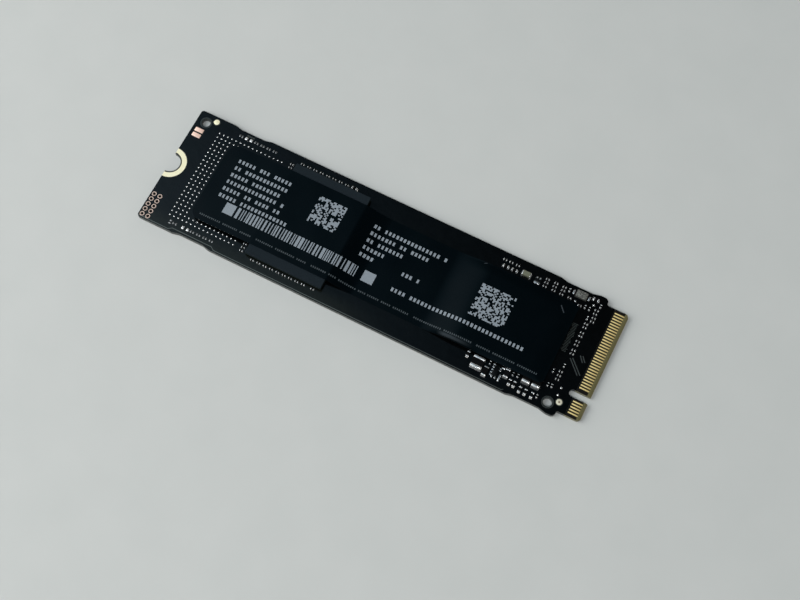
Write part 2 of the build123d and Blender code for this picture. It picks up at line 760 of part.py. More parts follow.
# Tinned lands beside the converter, and round probe points near the connector
probe_radius = 0.23
power_land_back = 14.4
upright_land_inset, upright_land_length, upright_land_width = 1.85, 1.2, 0.3
level_land_inset, level_land_length, level_land_width = 3.62, 0.6, 0.28
with BuildPart() as power_lands:
    with BuildSketch(Plane.XY.offset(board_top)):
        with Locations(near_place(power_land_back, upright_land_inset)):
            Rectangle(upright_land_width, upright_land_length)
        with Locations(near_place(power_land_back, level_land_inset)):
            Rectangle(level_land_length, level_land_width)
    extrude(amount=land_height)
power_lands.part.label = "power_lands"
export_step(power_lands.part, "parts/power_lands.step")

with BuildPart() as probe_points:
    with BuildSketch(Plane.XY.offset(board_top)):
        with Locations(
            near_place(4.87, 4.85),
            near_place(4.87, 3.55),
            far_place(5.9, 2.05),
            far_place(8.9, 2.75),
        ):
            RegularPolygon(probe_radius, round_sides)
    extrude(amount=land_height)
probe_points.part.label = "probe_points"
export_step(probe_points.part, "parts/probe_points.step")
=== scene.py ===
# %% [markdown]
# # A solid state drive on an M.2 card
#
# The drive is a thin black circuit board with two chip packages under a glossy label, rows of
# tiny soldered parts round them, and gold contacts along one end. Its CAD model comes in as the
# frame: every piece here is laid on it, in metres. Flat machined shapes stay CAD; whatever is
# soft, soldered or printed is worked out again as a finer surface.

# %% The frame and a few lengths read from it
import bpy
import numpy as np
from math import radians
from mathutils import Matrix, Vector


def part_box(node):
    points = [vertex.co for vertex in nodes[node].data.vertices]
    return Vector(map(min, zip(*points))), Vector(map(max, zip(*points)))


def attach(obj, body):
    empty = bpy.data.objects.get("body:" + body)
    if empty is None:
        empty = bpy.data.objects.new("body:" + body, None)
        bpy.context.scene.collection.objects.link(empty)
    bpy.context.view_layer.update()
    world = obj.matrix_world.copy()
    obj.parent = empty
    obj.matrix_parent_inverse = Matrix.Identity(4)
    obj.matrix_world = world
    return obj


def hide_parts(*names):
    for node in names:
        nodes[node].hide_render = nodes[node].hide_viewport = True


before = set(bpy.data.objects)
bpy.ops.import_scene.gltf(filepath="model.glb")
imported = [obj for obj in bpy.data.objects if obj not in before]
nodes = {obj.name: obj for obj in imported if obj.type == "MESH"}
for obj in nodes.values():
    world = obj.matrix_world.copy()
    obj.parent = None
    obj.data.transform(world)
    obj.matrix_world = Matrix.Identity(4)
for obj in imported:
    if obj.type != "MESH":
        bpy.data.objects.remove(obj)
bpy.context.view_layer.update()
mm = 0.001


def span(node):
    """A CAD node's lowest and highest corner, as two rows of millimetres."""
    return np.array([list(corner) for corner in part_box(node)]) / mm


spanned = ("circuit_board", "label_film", "flash_mould", "controller_mould")
board, film, flash, controller = map(span, spanned)
board_top, film_top, tip_x = board[1, 2], film[1, 2], board[1, 0]
film_thickness = film_top - flash[1, 2]
print("card", (board[1] - board[0]).round(3), "mm; film", film_thickness.round(3), "mm thick")

# %% [markdown]
# ## Camera
#
# The card's standard sizes fix the view: its length, width and contact pitch are known, so a
# pinhole camera was fitted to edge points measured in the photograph. It looks steeply down,
# from 21 cm away, and is turned so that the card lies across the picture.

# %% Camera
camera_lens, camera_sensor = 58.89, 36.0
camera_place = (36.32, -70.32, 200.41)
camera_turn = (19.9747, -0.6505, 26.7884)
clip_near, clip_far = 0.01, 10.0

camera = bpy.data.objects.new("view", bpy.data.cameras.new("view"))
bpy.context.scene.collection.objects.link(camera)
bpy.context.scene.camera = camera
camera.data.lens, camera.data.sensor_width = camera_lens, camera_sensor
camera.data.clip_start, camera.data.clip_end = clip_near, clip_far
camera.location = np.array(camera_place) * mm
camera.rotation_euler = [radians(turn) for turn in camera_turn]
bpy.context.scene.view_settings.view_transform = "Standard"
print("camera", camera_place, "mm, lens", camera_lens)

# %% [markdown]
# ## Shader sums
#
# A finish is a tree of nodes, and long trees are hard to read as lists of links. So a small
# class wraps one output socket: adding or comparing two of them adds a Math node. Everything
# else goes through one method, node(), that takes the node's type, its settings and its inputs.

# %% Sums on sockets
class Tone:
    """A value that varies over a surface: an output socket on which sums add Math nodes."""

    def __init__(self, finish, socket):
        self.finish, self.socket = finish, socket

    def __add__(self, other):
        return self.finish.math("ADD", self, other)

    def __sub__(self, other):
        return self.finish.math("SUBTRACT", self, other)

    def __rsub__(self, other):
        return self.finish.math("SUBTRACT", other, self)

    def __mul__(self, other):
        return self.finish.math("MULTIPLY", self, other)

    def __truediv__(self, other):
        return self.finish.math("DIVIDE", self, other)

    def __gt__(self, other):
        return self.finish.math("GREATER_THAN", self, other)

    def __lt__(self, other):
        return self.finish.math("LESS_THAN", self, other)

    def __abs__(self):
        return self.finish.math("ABSOLUTE", self)

    __radd__, __rmul__ = __add__, __mul__


print("tones take + - * / > < and abs()")

# %% A tree of nodes
class NodeTree:
    """A tree of nodes, of a material or of the world, and the sums made in it."""

    def __init__(self, tree):
        self.tree = tree

    def node(self, kind, settings=None, inputs=None, output=0):
        """Adds a node: settings are its properties, inputs its sockets' values or links."""
        made = self.tree.nodes.new(kind)
        for key, value in (settings or {}).items():
            setattr(made, key, value)
        for key, value in (inputs or {}).items():
            if isinstance(value, Tone):
                self.tree.links.new(value.socket, made.inputs[key])
            else:
                made.inputs[key].default_value = value
        return Tone(self, made.outputs[output])

    def math(self, operation, *values):
        """One operation on tones or numbers."""
        return self.node("ShaderNodeMath", {"operation": operation}, dict(enumerate(values)))

    def step(self, tone, low, high):
        """0 below low, 1 above high and a smooth slope between."""
        settings = {"interpolation_type": "SMOOTHSTEP", "clamp": True}
        inputs = {"Value": tone, "From Min": low, "From Max": high}
        return self.node("ShaderNodeMapRange", settings, inputs)

    def mix(self, share, first, second):
        """One colour turning into another as share goes from 0 to 1. A Mix node takes its share
        in socket 0 and its two colours in sockets 6 and 7, and gives a colour in output 2."""
        share_in, first_in, second_in, color_out = 0, 6, 7, 2
        first, second = (end if isinstance(end, Tone) else (*end, 1) for end in (first, second))
        inputs = {share_in: share, first_in: first, second_in: second}
        return self.node("ShaderNodeMix", {"data_type": "RGBA"}, inputs, color_out)


print("a tree of nodes offers", *(name for name in vars(NodeTree) if name[0] != "_"))

# %% A procedural material
class Finish(NodeTree):
    """A procedural material, read in object coordinates."""

    def __init__(self, name, color, roughness, metallic=0.0, specular=0.5):
        self.material = bpy.data.materials.new(name)
        self.material.use_nodes = True
        super().__init__(self.material.node_tree)
        self.shader = self.tree.nodes["Principled BSDF"]
        constants = {"Base Color": (*color, 1), "Roughness": roughness, "Metallic": metallic}
        for socket, value in {**constants, "Specular IOR Level": specular}.items():
            self.shader.inputs[socket].default_value = value
        self.place = self.node("ShaderNodeTexCoord", output="Object")
        parts = self.node("ShaderNodeSeparateXYZ", inputs={0: self.place}).socket.node.outputs
        self.x, self.y, self.z = (Tone(self, parts[axis]) / mm for axis in "XYZ")

    def feed(self, socket, tone):
        """Links a tone to one of the shader's sockets."""
        self.tree.links.new(tone.socket, self.shader.inputs[socket])
        return self

    def grain(self, size, detail=2.0):
        """Cloudy noise from 0 to 1 whose lumps are about this many millimetres across."""
        inputs = {"Vector": self.place, "Scale": 1 / (size * mm), "Detail": detail}
        return self.node("ShaderNodeTexNoise", inputs=inputs)

    def length(self, off_x, off_y):
        """Length of a level step: the root of its two squares' sum."""
        return self.math("SQRT", off_x * off_x + off_y * off_y)

    def away(self, spot):
        """Distance from an upright axis in millimetres."""
        return self.length(self.x - float(spot[0]), self.y - float(spot[1]))

    def off_line(self, start, end):
        """Distance from a straight stretch in millimetres: from the point at the share along it
        that lies nearest, where the share is kept between 0 and 1."""
        run_x, run_y = end[0] - start[0], end[1] - start[1]
        off_x, off_y = self.x - start[0], self.y - start[1]
        along = (off_x * run_x + off_y * run_y) / (run_x ** 2 + run_y ** 2)
        along = self.math("MAXIMUM", self.math("MINIMUM", along, 1.0), 0.0)
        return self.length(off_x - along * run_x, off_y - along * run_y)

    def bump(self, height, depth, normal=None):
        """Relief whose height runs from 0 to 1 over a depth in millimetres."""
        inputs = {"Height": height, "Distance": depth * mm, "Strength": 1.0}
        if normal:
            inputs["Normal"] = normal
        return self.node("ShaderNodeBump", inputs=inputs)


print("a finish adds", *(name for name in vars(Finish) if name[0] != "_"))

# %% Colours
def srgb(text):
    """A colour written as six hex digits, as the linear light that Blender works in: the sRGB
    curve is a straight line near black and a power of 2.4 above that."""
    value = np.array([int(text[n:n + 2], 16) for n in (0, 2, 4)]) / 255
    linear = np.where(value < 0.04045, value / 12.92, ((value + 0.055) / 1.055) ** 2.4)
    return tuple(linear.round(5).tolist())


print("srgb 808080 is", srgb("808080")[0], "of white")

# %% [markdown]
# ## Desk and light
#
# The photograph shows a plain pale desk under soft room light from all sides, with hardly a
# shadow, and nearly dark straight above, which is why flat black faces show little sheen. So
# the world is bright in a band above the horizon and dark overhead. High beyond the notch's end
# it swells to a broad glow, which the black faces mirror: palest at that end, darkest at the
# tip. A near lamp at the left makes the desk fade from left to right, and a lamp in front,
# whose shadows fall behind the card, draws sparks on the solder.

# %% Desk
desk_reach, desk_drop = 2.5, 0.00002
desk_signs = ((-1, -1), (1, -1), (1, 1), (-1, 1))
desk = bpy.data.objects.new("desk", bpy.data.meshes.new("desk"))
bpy.context.scene.collection.objects.link(desk)
desk_corners = [(x * desk_reach, y * desk_reach, -desk_drop) for x, y in desk_signs]
desk.data.from_pydata(desk_corners, [], [(0, 1, 2, 3)])

desk_finish = Finish("desk", srgb("c4c6c1"), 0.6, specular=0.2)
desk_cloud = desk_finish.mix(desk_finish.grain(9.0, 4.0), srgb("c2c4c1"), srgb("c9cac7"))
desk_finish.feed("Base Color", desk_cloud)
desk_finish.feed("Normal", desk_finish.bump(desk_finish.grain(0.35, 3.0), 0.004))
desk.data.materials.append(desk_finish.material)
print("desk", 2 * desk_reach, "m wide, just under the card")

# %% Room
world = bpy.data.worlds.new("room")
bpy.context.scene.world = world
world.use_nodes = True
sky = NodeTree(world.node_tree)
dim, room_seen = 0.012, 0.8
band, band_low, band_high = 0.9, 0.2, 0.6
swell_side, swell_start, swell_power = (-0.578, -0.289, 0.763), 0.56, 3.0
swell, swell_most = 3.0, 0.72

towards = sky.node("ShaderNodeTexCoord", output="Generated")
rise = sky.node("ShaderNodeSeparateXYZ", inputs={0: towards}, output="Z")
dot_product = {"operation": "DOT_PRODUCT"}
facing = sky.node("ShaderNodeVectorMath", dot_product, {0: towards, 1: swell_side}, "Value")
inward = sky.math("MAXIMUM", (facing - swell_start) / (1 - swell_start), 0.0)
glow = sky.math("MINIMUM", sky.math("POWER", inward, swell_power) * swell, swell_most)
light = (1 - sky.step(rise, band_low, band_high)) * band + glow + dim
seen = sky.node("ShaderNodeLightPath", output="Is Camera Ray")
background = sky.tree.nodes["Background"]
strength = light * (1 - seen) + seen * room_seen
sky.tree.links.new(strength.socket, background.inputs["Strength"])

# Overhead the glow is blue, in full where it is faint and a little less where it is strong
overhead = sky.step(rise, band_high - 0.1, band_high + 0.05)
cool = sky.step(glow, 0.0, 0.03) * (1 - sky.step(glow, 0.3, swell_most) * 0.3)
room_color = sky.mix(cool * overhead * (1 - seen), srgb("fffbf2"), srgb("b4e0fc"))
sky.tree.links.new(room_color.socket, background.inputs["Color"])
print("world from", dim, "to", dim + band, "and a glow of", swell_most, "at most")

# %% Lamps
def lamp(name, place, size, power):
    """A square soft lamp that faces the card."""
    data = bpy.data.lights.new(name, "AREA")
    data.shape, data.size, data.energy = "SQUARE", size, power
    made = bpy.data.objects.new(name, data)
    made.location = place
    made.rotation_euler = (-made.location).to_track_quat("-Z", "Y").to_euler()
    bpy.context.scene.collection.objects.link(made)
    print(name, "of", power, "W at", place, "m")


lamp("left_lamp", (-0.38, -0.15, 0.275), 0.45, 1.9)
lamp("front_lamp", (0.22, -0.50, 1.00), 0.3, 4.0)

# %% [markdown]
# ## Surfaces from arrays
#
# Every new piece is a grid of points worked out at once: rows go up, columns go round
# counter-clockwise, so that each quad between them faces outwards. A small part that occurs
# many times is one such grid with an extra axis for the places.

# %% Grids
def quads(rows, columns):
    """The quads between neighbouring points of a grid whose columns close into a ring."""
    row, column = np.meshgrid(np.arange(rows - 1), np.arange(columns), indexing="ij")
    near, far = row * columns, (row + 1) * columns
    after = (column + 1) % columns
    return np.stack([near + column, near + after, far + after, far + column], -1).reshape(-1, 4)


def stacked(rings, hoop=False):
    """Faces of many shells at once: rings has the axes shell, ring, point and xyz. A shell is
    closed by its lowest and highest ring, or as a hoop, whose last ring meets its first."""
    shells, rows, columns = rings.shape[:3]
    first = np.arange(shells)[:, None, None] * rows * columns
    faces = [(first + quads(rows, columns)).reshape(-1, 4)]
    if hoop:
        start, end = np.arange(columns), (rows - 1) * columns + np.arange(columns)
        closing = np.stack([end, np.roll(end, -1), np.roll(start, -1), start], -1)
        return rings.reshape(-1, 3), faces + [(first + closing).reshape(-1, 4)]
    faces.append((first[:, 0] + (rows - 1) * columns + np.arange(columns)).reshape(-1, columns))
    faces.append((first[:, 0] + np.arange(columns)[::-1]).reshape(-1, columns))
    return rings.reshape(-1, 3), faces


print("two rings of four points make", len(quads(2, 4)), "quads")

# %% Pieces
def piece(name, points, faces, finish, slot, stands_for=(), sharp=40):
    """A mesh of points in millimetres, riding on the card. Edges steeper than sharp stay crisp."""
    mesh = bpy.data.meshes.new(name)
    mesh.from_pydata((points * mm).tolist(), [], [row for table in faces for row in table.tolist()])
    mesh.polygons.foreach_set("use_smooth", [True] * len(mesh.polygons))
    mesh.set_sharp_from_angle(angle=radians(sharp))
    mesh.materials.append(finish.material)
    made = bpy.data.objects.new(name, mesh)
    bpy.context.scene.collection.objects.link(made)
    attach(made, "root")
    if stands_for:
        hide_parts(*stands_for)


print("the CAD has", len(nodes), "nodes that pieces can stand for")

# %% The CAD's separate solids
def solids_of(node):
    """Boxes of a node's separate solids, as their lowest and their highest corners. A solid is
    all the corners that triangles join: each corner starts with a number of its own and takes
    the lowest one found in its triangles, until none changes."""
    mesh = nodes[node].data
    corners = np.empty(len(mesh.vertices) * 3, np.float32)
    mesh.vertices.foreach_get("co", corners)
    loops = np.empty(len(mesh.loops), np.int32)
    mesh.loops.foreach_get("vertex_index", loops)
    rounded = np.round(corners.reshape(-1, 3) / mm, 3)
    spots, same = np.unique(rounded, axis=0, return_inverse=True)
    triangles = same.reshape(-1)[loops].reshape(-1, 3)
    group = np.arange(len(spots))
    while True:
        fresh = group.copy()
        np.minimum.at(fresh, triangles.ravel(), np.repeat(group[triangles].min(1), 3))
        if (fresh == group).all():
            break
        group = fresh
    members = [spots[group == label] for label in np.unique(group)]
    lowest, highest = [found.min(0) for found in members], [found.max(0) for found in members]
    return np.array(lowest), np.array(highest)


print(len(solids_of("flash_chip_bodies")[0]), "chips round the flash")

# %% Round-cornered blocks
least_corner = 0.25


def blocks(low, high, corner, profile, steps=2, shares=False):
    """Blocks in boxes. Each ring of the profile is the box's outline drawn in by an inset in
    millimetres, or in shares of its narrower half side, at a share of the box's height. A
    corner's points are its centre plus its radius times the cosine and sine of an angle that
    runs through a quarter turn; the radius shrinks by the inset, down to a least share."""
    inset, rise = np.array(profile, float).T
    middle, half = (low + high) / 2, (high - low) / 2
    unit = half[:, :2].min(1) if shares else np.ones(len(half))
    inset = unit[:, None] * inset
    half_x, half_y = ((half[:, axis, None] - inset)[:, :, None, None] for axis in (0, 1))
    radius = np.clip(corner - inset, least_corner * corner, None)[:, :, None, None]
    turn = (np.arange(4)[:, None] + np.linspace(0, 1, steps)) * np.pi / 2
    side_x, side_y = np.array([[1, -1, -1, 1], [1, 1, -1, -1]])[:, :, None]
    x = middle[:, 0, None, None, None] + side_x * (half_x - radius) + radius * np.cos(turn)
    y = middle[:, 1, None, None, None] + side_y * (half_y - radius) + radius * np.sin(turn)
    z = low[:, 2, None, None, None] + rise[:, None, None] * 2 * half[:, 2, None, None, None] + 0 * x
    return np.stack([x, y, z], -1).reshape(len(low), len(rise), 4 * steps, 3)


plain_block = blocks(*solids_of("choke_body"), 0.05, [(0, 0), (0, 1)])
print("a plain block has", plain_block.shape[1], "rings of", plain_block.shape[2], "points")

# %% Turned shapes
def turned(centres, profile, count=12):
    """Round shapes: a profile of radius and height, turned about an upright axis at each centre."""
    radius, height = np.array(profile, float).T[:, :, None]
    angle = np.arange(count) * 2 * np.pi / count
    ring = np.stack([radius * np.cos(angle), radius * np.sin(angle), height + 0 * angle], -1)
    return centres[:, None, None, :] + ring


def feet_of(node):
    """The middle of the foot of each solid in a node."""
    low, high = solids_of(node)
    return np.stack([*((low + high) / 2).T[:2], low[:, 2]], -1)


print("first pad at", feet_of("empty_site_pads")[0].round(3))

# %% [markdown]
# ## Metals
#
# Reflowed solder is bright and a little frosted, and its domes catch the lamps as sparks. Bare
# tin, on empty lands and in the mounds of most chips, is duller but for four fresh spots. Thin
# gold over nickel is satin; each contact has painted shade towards its two long sides, and it is
# darker towards its end. Bare copper under its pale protective film looks pink, and is a little
# greyer on the test rings. The crystal's nickel lid is blotched.

# %% Solder and bare tin
solder = Finish("solder", srgb("eceded"), 0.34, metallic=0.8)
solder.feed("Base Color", solder.mix(solder.grain(0.3, 3.0), srgb("d3d5d6"), srgb("eff0f0")))
solder.feed("Roughness", solder.grain(0.25) * 0.14 + 0.16)
solder.feed("Normal", solder.bump(solder.grain(0.2, 2.0), 0.005))

fresh_spots, fresh_radius = ((-30.6, 9.7), (-29.75, 9.7), (-32.1, -9.5), (-31.35, -9.6)), 0.42
bare_tin = Finish("bare_tin", srgb("8d9092"), 0.4, metallic=0.8)
fresh_tin = sum(bare_tin.away(spot) < fresh_radius for spot in fresh_spots)
dull_tin = bare_tin.mix(bare_tin.grain(0.2, 3.0), srgb("6d7072"), srgb("a4a7a9"))
bare_tin.feed("Base Color", bare_tin.mix(fresh_tin, dull_tin, srgb("f4f5f5")))
bare_tin.feed("Normal", bare_tin.bump(bare_tin.grain(0.12, 2.0), 0.004))
print("solder, and bare tin with", len(fresh_spots), "fresh spots")

# %% Gold
# The contacts of the lower face lie half a pitch along, and so many whole pitches are added
# that the fraction is never taken of a number below zero
contact_pitch, contact_half, whole_pitches = 0.5, 0.175, 40.0
gold = Finish("gold", srgb("f6e7b8"), 0.34, metallic=0.2)
under = gold.z < board_top / 2
phase = gold.math("FRACT", gold.y / contact_pitch + under * 0.5 + whole_pitches)
beside = abs(phase - 0.5) * contact_pitch
# Painted shade: each contact turns nearly black towards its two long sides
flank_shade = gold.step(beside, 0.04, contact_half - 0.02)
finger = gold.mix(flank_shade, srgb("ffe7a0"), srgb("1c1504"))
# Each contact turns darker towards the card's tip
darker_to_tip = gold.step(gold.x, tip_x - 1.9, tip_x - 0.6)
finger = gold.mix(darker_to_tip * 0.5, finger, srgb("8d7b48"))

# Away from the contacts only the placing mark near the tip is duller, with a brown dot
dull_from, contacts_from = 30.0, tip_x - 3.0
bright = gold.mix(gold.grain(0.8, 3.0), srgb("fff4ca"), srgb("fffcdc"))
dulled = (gold.x > dull_from) * (gold.grain(0.3) * 0.4 + 0.8)
plated = gold.mix(dulled, bright, srgb("dcd7c0"))
tip_mark = feet_of("fiducial_marks")[-1]
plated = gold.mix(1 - gold.step(gold.away(tip_mark), 0.1, 0.2), plated, srgb("7a6248"))
gold.feed("Base Color", gold.mix(gold.x > contacts_from, plated, finger))
gold.feed("Roughness", gold.grain(0.3) * 0.16 + 0.28)
gold.feed("Normal", gold.bump(gold.grain(0.14, 3.0), 0.004))
print("contacts repeat every", contact_pitch, "mm")

# %% Copper and nickel
# Painted shade makes the test holes' plated walls dark, up to where the ring's lip turns level
shade_to, bare_from = board_top + 0.008, board_top + 0.028
copper = Finish("copper", srgb("f3cdb9"), 0.4, metallic=0.2)
copper_cloud = copper.mix(copper.grain(0.4, 3.0), srgb("f2c7b2"), srgb("ffe2d3"))
copper_cloud = copper.mix(copper.y < 0, copper_cloud, srgb("c9b2a5"))
depth = copper.step(copper.z, shade_to, bare_from)
# Painted shade inside the test holes: near black below the lip
copper.feed("Base Color", copper.mix(depth, srgb("150e0a"), copper_cloud))
copper.feed("Normal", copper.bump(copper.grain(0.12, 2.0), 0.005))

nickel = Finish("nickel", srgb("85857f"), 0.45, metallic=0.6)
blotches = nickel.step(nickel.grain(0.22, 5.0), 0.35, 0.65)
nickel.feed("Base Color", nickel.mix(blotches, srgb("3f3f3d"), srgb("9c9c95")))
nickel.feed("Roughness", nickel.grain(0.2) * 0.2 + 0.35)
nickel.feed("Normal", nickel.bump(nickel.grain(0.06, 3.0), 0.004))
print("copper bare above", shade_to.round(3), "mm, and nickel")

# %% [markdown]
# ## Ceramic, ferrite and moulding compound
#
# Fired ceramic is finely grained and almost matt; the big capacitor is tan, the small ones
# nearly black. The packages are moulded in epoxy filled with glass powder, which gives their
# black a grey bloom and a fine matt grain.

# %% Ceramics and mould
def fired(name, dark, light, roughness, relief):
    """A fired or moulded body: two close colours in fine clouds over a matt grain."""
    cloud_size, matt_size, relief_size, roughness_swing = 0.12, 0.08, 0.035, 0.2
    made = Finish(name, srgb(dark), roughness, specular=0.07)
    made.feed("Base Color", made.mix(made.grain(cloud_size, 4.0), srgb(dark), srgb(light)))
    least = roughness - roughness_swing / 2
    made.feed("Roughness", made.grain(matt_size) * roughness_swing + least)
    return made.feed("Normal", made.bump(made.grain(relief_size, 2.0), relief))


dark_ceramic = fired("dark_ceramic", "030303", "0c0b0b", 0.5, 0.006)
tan_ceramic = fired("tan_ceramic", "55574a", "797b6a", 0.5, 0.006)
grey_ceramic = fired("grey_ceramic", "2c2c2a", "434340", 0.55, 0.005)
ferrite = fired("ferrite", "030304", "0c0c0e", 0.6, 0.01)
compound = fired("mould_compound", "0d1317", "232c32", 0.55, 0.005)
epoxy = fired("black_epoxy", "07090a", "101315", 0.5, 0.004)
substrate = fired("package_substrate", "0e1511", "18221b", 0.45, 0.003)
print("seven fired and moulded finishes")

# %% [markdown]
# ## Soldered chips
#
# A two-ended chip is a ceramic block between two plated caps, and molten solder climbs each cap
# from its land in a hollow curve. The CAD has the blocks; here every edge is rounded, and each
# end gets its mound of solder, made as rings that draw in quickly at first and then steeply.

# %% The chips' shapes
# A profile lists, from the foot up, an inset and a share of the height
body_profile = [(0.03, 0), (0, 0.1), (0, 0.88), (0.012, 0.97), (0.03, 1)]
pillow_profile = [(0, 0), (0, 0.72), (0.1, 0.86), (0.34, 0.96), (0.68, 1)]
mound_profile = [
    (0, 0), (0.012, 0.1), (0.05, 0.22), (0.09, 0.42), (0.12, 0.68), (0.135, 0.92), (0.15, 1),
]
body_corner, cap_corner, mound_corner = 0.03, 0.05, 0.12
cap_growth, mound_rise, mound_reach = 0.004, 0.75, 0.06
mound_reaches = {"medium_chip": 0.07, "small_chip": 0.13, "choke": 0.14}
mound_reaches.update(dict.fromkeys(("bulk_capacitor", "inductor"), 0.17))
body_growth = {
    "ceramic_capacitor_body": (0.2, 0.014, 0.014),
    "sense_resistor_body": (0.014, 0.16, 0.014),
}
print("solder reaches from", mound_reach, "to", max(mound_reaches.values()), "mm past a cap")

# %% The chips' nodes and finishes
chips = {
    "flash_chip": (["flash_chip_bodies"], ["flash_chip_ends"]),
    "lane_capacitor": (["lane_capacitor_bodies"], ["lane_capacitor_ends"]),
    "control_chip": (["control_chip_bodies"], ["control_chip_ends"]),
    "small_chip": (["small_chip_bodies"], ["small_chip_ends", "small_chip_solder"]),
    "medium_chip": (["sense_resistor_body", "ceramic_capacitor_body"], ["medium_chip_ends"]),
    "bulk_capacitor": (["bulk_capacitor_bodies"], ["bulk_capacitor_ends"]),
    "inductor": (["inductor_body"], ["inductor_ends"]),
    "choke": (["choke_body"], ["choke_ends"]),
}
dull_mounds = ("flash_chip", "lane_capacitor", "control_chip", "bulk_capacitor", "choke")
body_finish = {"ceramic_capacitor_body": (tan_ceramic, "tan_ceramic")}
body_finish.update(dict.fromkeys(("inductor_body", "choke_body"), (ferrite, "ferrite")))
print(len(chips), "kinds of chip,", len(dull_mounds), "of them with dull mounds")

# %% Chips
def outward(ends, bodies):
    """For each end, a step of 1 or -1 along x or y away from the nearest body's middle."""
    apart = ends[:, None, :2] - bodies[None, :, :2]
    nearest = np.abs(apart).sum(-1).argmin(1)
    away = apart[np.arange(len(ends)), nearest]
    longer = np.abs(away) == np.abs(away).max(1, keepdims=True)
    return np.sign(away) * longer


for kind, (bodies, ends) in chips.items():
    middles = []
    for node in bodies:
        low, high = solids_of(node)
        middles.append((low + high) / 2)
        finish, slot = body_finish.get(node, (dark_ceramic, "dark_ceramic"))
        growth = np.array(body_growth.get(node, (0, 0, 0)))
        body = blocks(low - growth * (1, 1, 0), high + growth, body_corner, body_profile)
        piece(f"{node}_fired", *stacked(body), finish, slot, [node])
    low, high = solids_of(ends[0])
    cap_low, cap_high = low - (cap_growth, cap_growth, 0), high + cap_growth
    caps = blocks(cap_low, cap_high, cap_corner, pillow_profile, shares=True)
    step = outward((low + high) / 2, np.concatenate(middles)) * mound_reaches.get(kind, mound_reach)
    foot_low, foot_high = low.copy(), high.copy()
    foot_low[:, :2] += np.minimum(step, 0)
    foot_high[:, :2] += np.maximum(step, 0)
    foot_high[:, 2] = low[:, 2] + (high - low)[:, 2] * mound_rise
    mounds = blocks(foot_low, foot_high, mound_corner, mound_profile, steps=3)
    metal = bare_tin if kind in dull_mounds else solder
    piece(f"{kind}_caps", *stacked(caps), solder, "tin", ends[:1], sharp=60)
    piece(f"{kind}_solder", *stacked(mounds), metal, "tin", ends[1:], sharp=75)
    print(kind, len(low), "ends")

# %% [markdown]
# ## Pads, balls, rings and marks
#
# Tinned pads are low domes, because solder pulls itself round. Package balls bulge between
# board and package. The test points are plated right through the board, so each is a washer
# whose inner wall goes down the drilled hole, and the placing marks are plain gold discs.

# %% Round metal parts
# A profile lists radii and heights in millimetres. The washers' one goes over the lip, down
# the hole's wall and up again behind it
dome = [(0.125, 0), (0.118, 0.014), (0.097, 0.036), (0.062, 0.053), (0.024, 0.059)]
probe_growth = (1.35, 1.15)
disc = [(0.5, 0), (0.5, 0.024), (0.485, 0.03)]
hole_foot = 0.002 - board_top
lip = [(0.4, 0), (0.4, 0.024), (0.385, 0.034), (0.31, 0.034), (0.26, 0.02)]
wall = [(0.205, -0.03), (0.2, hole_foot), (0.212, hole_foot), (0.212, -0.01)]


def ball(node):
    """A barrel as high as the node's solids, whose radius is a neck's plus a bulge times a half
    circle's height, cut off just short of the circle's ends."""
    neck, bulge, cut, levels = 0.165, 0.065, 0.98, 7
    low, high = solids_of(node)
    around = np.linspace(-1, 1, levels)
    radius = neck + bulge * np.sqrt(1 - (around * cut) ** 2)
    return np.stack([radius, (around + 1) / 2 * (high - low)[0, 2]], -1)


ball_nodes = ("flash_solder_balls", "controller_solder_balls")
rounds = {
    "site_pads": ("empty_site_pads", dome, 12),
    "probe_domes": ("probe_points", np.array(dome) * probe_growth, 12),
    **{f"{node}_round": (node, ball(node), 10) for node in ball_nodes},
}
for name, (node, profile, count) in rounds.items():
    piece(name, *stacked(turned(feet_of(node), profile, count)), solder, "tin", [node], sharp=80)
washers = stacked(turned(feet_of("test_point_rings"), lip + wall, 24), hoop=True)
piece("test_washers", *washers, copper, "bare_copper", ["test_point_rings"])
discs = stacked(turned(feet_of("fiducial_marks"), disc, 32))
piece("placing_marks", *discs, gold, "gold_plating", ["fiducial_marks"])
print(len(rounds) + 2, "kinds of round parts")

# %% Lands, leads and small packages
land_profile = [(0, 0), (0, 0.6), (0.02, 1)]
lead_profile = [(0, 0), (0, 0.8), (0.015, 0.93), (0.04, 1)]
swollen_profile = [(0, 0), (0.004, 0.6), (0.03, 1.4), (0.08, 2.2), (0.13, 2.6)]
jumper_low, jumper_high = solids_of("jumper_lands")
jumper_gap = np.array([0, 0.03, 0])
jumpers = blocks(jumper_low + jumper_gap, jumper_high - jumper_gap, 0.1, land_profile, 4)
piece("jumper_pads", *stacked(jumpers), copper, "bare_copper", ["jumper_lands"])
for node, finish in (("empty_chip_lands", bare_tin), ("power_lands", solder)):
    tinned = stacked(blocks(*solids_of(node), 0.07, swollen_profile, 3))
    piece(f"{node}_tinned", *tinned, finish, "tin", [node], sharp=80)
for node in ("converter_leads", "switch_leads", "crystal_lands"):
    soldered = stacked(blocks(*solids_of(node), 0.06, lead_profile, 2))
    piece(f"{node}_soldered", *soldered, solder, "tin", [node], sharp=60)
packages = {
    "converter_chip": (epoxy, "mould_compound", 0.03),
    "switch_chip": (epoxy, "mould_compound", 0.03),
    "crystal_base": (grey_ceramic, "grey_ceramic", 0.03),
    "crystal_lid": (nickel, "crystal_can", 0.08),
}
for node, (finish, slot, corner) in packages.items():
    package = stacked(blocks(*solids_of(node), corner, body_profile, 3))
    piece(f"{node}_edged", *package, finish, slot, [node])
print("lands, leads and", len(packages), "small package parts")

# %% [markdown]
# ## Label film
#
# The label is one stiff glossy film, stuck to the tops of both packages. Its free end droops a
# little over the empty site; between the packages it falls to the board and climbs again. Its
# near edge curls up a little on that climb, past the controller's sides its edges hang down
# slightly, and faint ripples run over it. It is a thin section carried along the card, narrowed
# at both ends so that the outline's corners are round.

